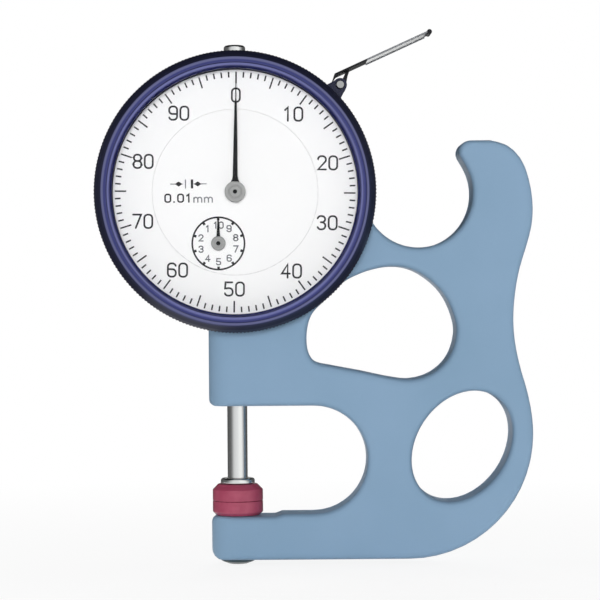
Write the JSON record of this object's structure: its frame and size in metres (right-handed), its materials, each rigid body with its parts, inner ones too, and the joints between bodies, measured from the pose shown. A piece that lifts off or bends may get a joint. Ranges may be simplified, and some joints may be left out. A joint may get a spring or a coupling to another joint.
{
  "type": "dial thickness gauge",
  "caption": "Hand-held dial thickness gauge: cast bow frame with finger holes and thumb hook, round dial with turning bezel, sprung spindle over a fixed anvil, and a lifting lever.",
  "frame": {"origin": "centre of the back cover's flat outer face, on the dial's axis", "axes": "+Z along the spindle, away from the anvil; -Y out of the dial's face; +X from the spindle towards the palm side of the frame"},
  "size_m": [0.0862, 0.0231, 0.1057],
  "materials": {
    "frame_paint": "satin pale blue enamel",
    "red_contact": "ground red ceramic",
    "steel": "polished",
    "case_dark": "black anodised",
    "bezel_blue": "blue anodised",
    "dial_white": "white enamel with black print",
    "hand_black": "black",
    "boss_grey": "satin nickel",
    "brass": "satin",
    "blued_spring": "blued",
    "crystal": "clear"
  },
  "bodies": {
    "frame": {"frame_casting": "frame_paint", "anvil": "red_contact", "anvil_screw": "steel", "stem": "steel", "stem_screw_1": "steel", "stem_screw_2": "steel", "upper_bush": "steel", "case": "case_dark", "back_cover": "case_dark", "cover_screw_1": "steel", "cover_screw_2": "steel", "cover_screw_3": "steel", "cover_screw_4": "steel", "bezel_wire": "steel", "centre_disc": "dial_white", "front_plate": "brass", "middle_plate": "brass", "pillar_1": "brass", "pillar_2": "brass", "pillar_3": "brass", "plate_screw_1": "steel", "plate_screw_2": "steel", "plate_screw_3": "steel", "rear_cock": "brass", "cock_screw": "steel", "hairspring": "blued_spring", "hairspring_stud": "steel", "guide_plate": "steel", "measuring_spring": "steel", "spring_post": "steel", "lever_pin": "steel"},
    "spindle_assembly": {"spindle": "steel", "spindle_cap": "steel", "contact_collar": "steel", "contact_point": "red_contact", "guide_pin": "steel"},
    "bezel_assembly": {"bezel": "bezel_blue", "crystal": "crystal", "dial_ring": "dial_white"},
    "pointer_assembly": {"centre_arbor": "steel", "main_hand": "hand_black", "main_hub": "boss_grey"},
    "counter_assembly": {"rack_arbor": "steel", "counter_wheel": "brass", "counter_hand": "hand_black", "counter_hub": "boss_grey"},
    "takeup_assembly": {"takeup_arbor": "steel", "takeup_wheel": "brass"},
    "lever": {"lifting_lever": "steel"}
  },
  "joints": [
    {"name": "spindle_travel", "type": "slide", "parent": "frame", "child": "spindle_assembly", "axis": [0, 0, 1], "range_m": [0, 0.01], "stiffness_N_per_m": 50, "springref_m": -0.02, "deforming": ["measuring_spring"]},
    {"name": "bezel_turn", "type": "hinge", "parent": "frame", "child": "bezel_assembly", "pos_m": [0, 0, 0], "axis": [0, 1, 0], "continuous": true},
    {"name": "pointer_turn", "type": "hinge", "parent": "frame", "child": "pointer_assembly", "pos_m": [0, 0, 0], "axis": [0, 1, 0], "range_deg": [0, 3601]},
    {"name": "counter_turn", "type": "hinge", "parent": "frame", "child": "counter_assembly", "pos_m": [-0.00334, 0, -0.01], "axis": [0, 1, 0], "range_deg": [-361, 0]},
    {"name": "takeup_turn", "type": "hinge", "parent": "frame", "child": "takeup_assembly", "pos_m": [0.00334, 0, 0.01], "axis": [0, 1, 0], "range_deg": [-361, 0]},
    {"name": "lever_lift", "type": "hinge", "parent": "frame", "child": "lever", "pos_m": [0.02095, 0, 0.0215], "axis": [0, 1, 0], "range_deg": [0, 25.1]}
  ],
  "couplings": [
    {"joint": "pointer_turn", "follows": "spindle_travel", "rad_per_m": 6283.2},
    {"joint": "counter_turn", "follows": "spindle_travel", "rad_per_m": -628.32},
    {"joint": "takeup_turn", "follows": "spindle_travel", "rad_per_m": -628.32},
    {"joint": "lever_lift", "follows": "spindle_travel", "rad_per_m": 43.25}
  ]
}
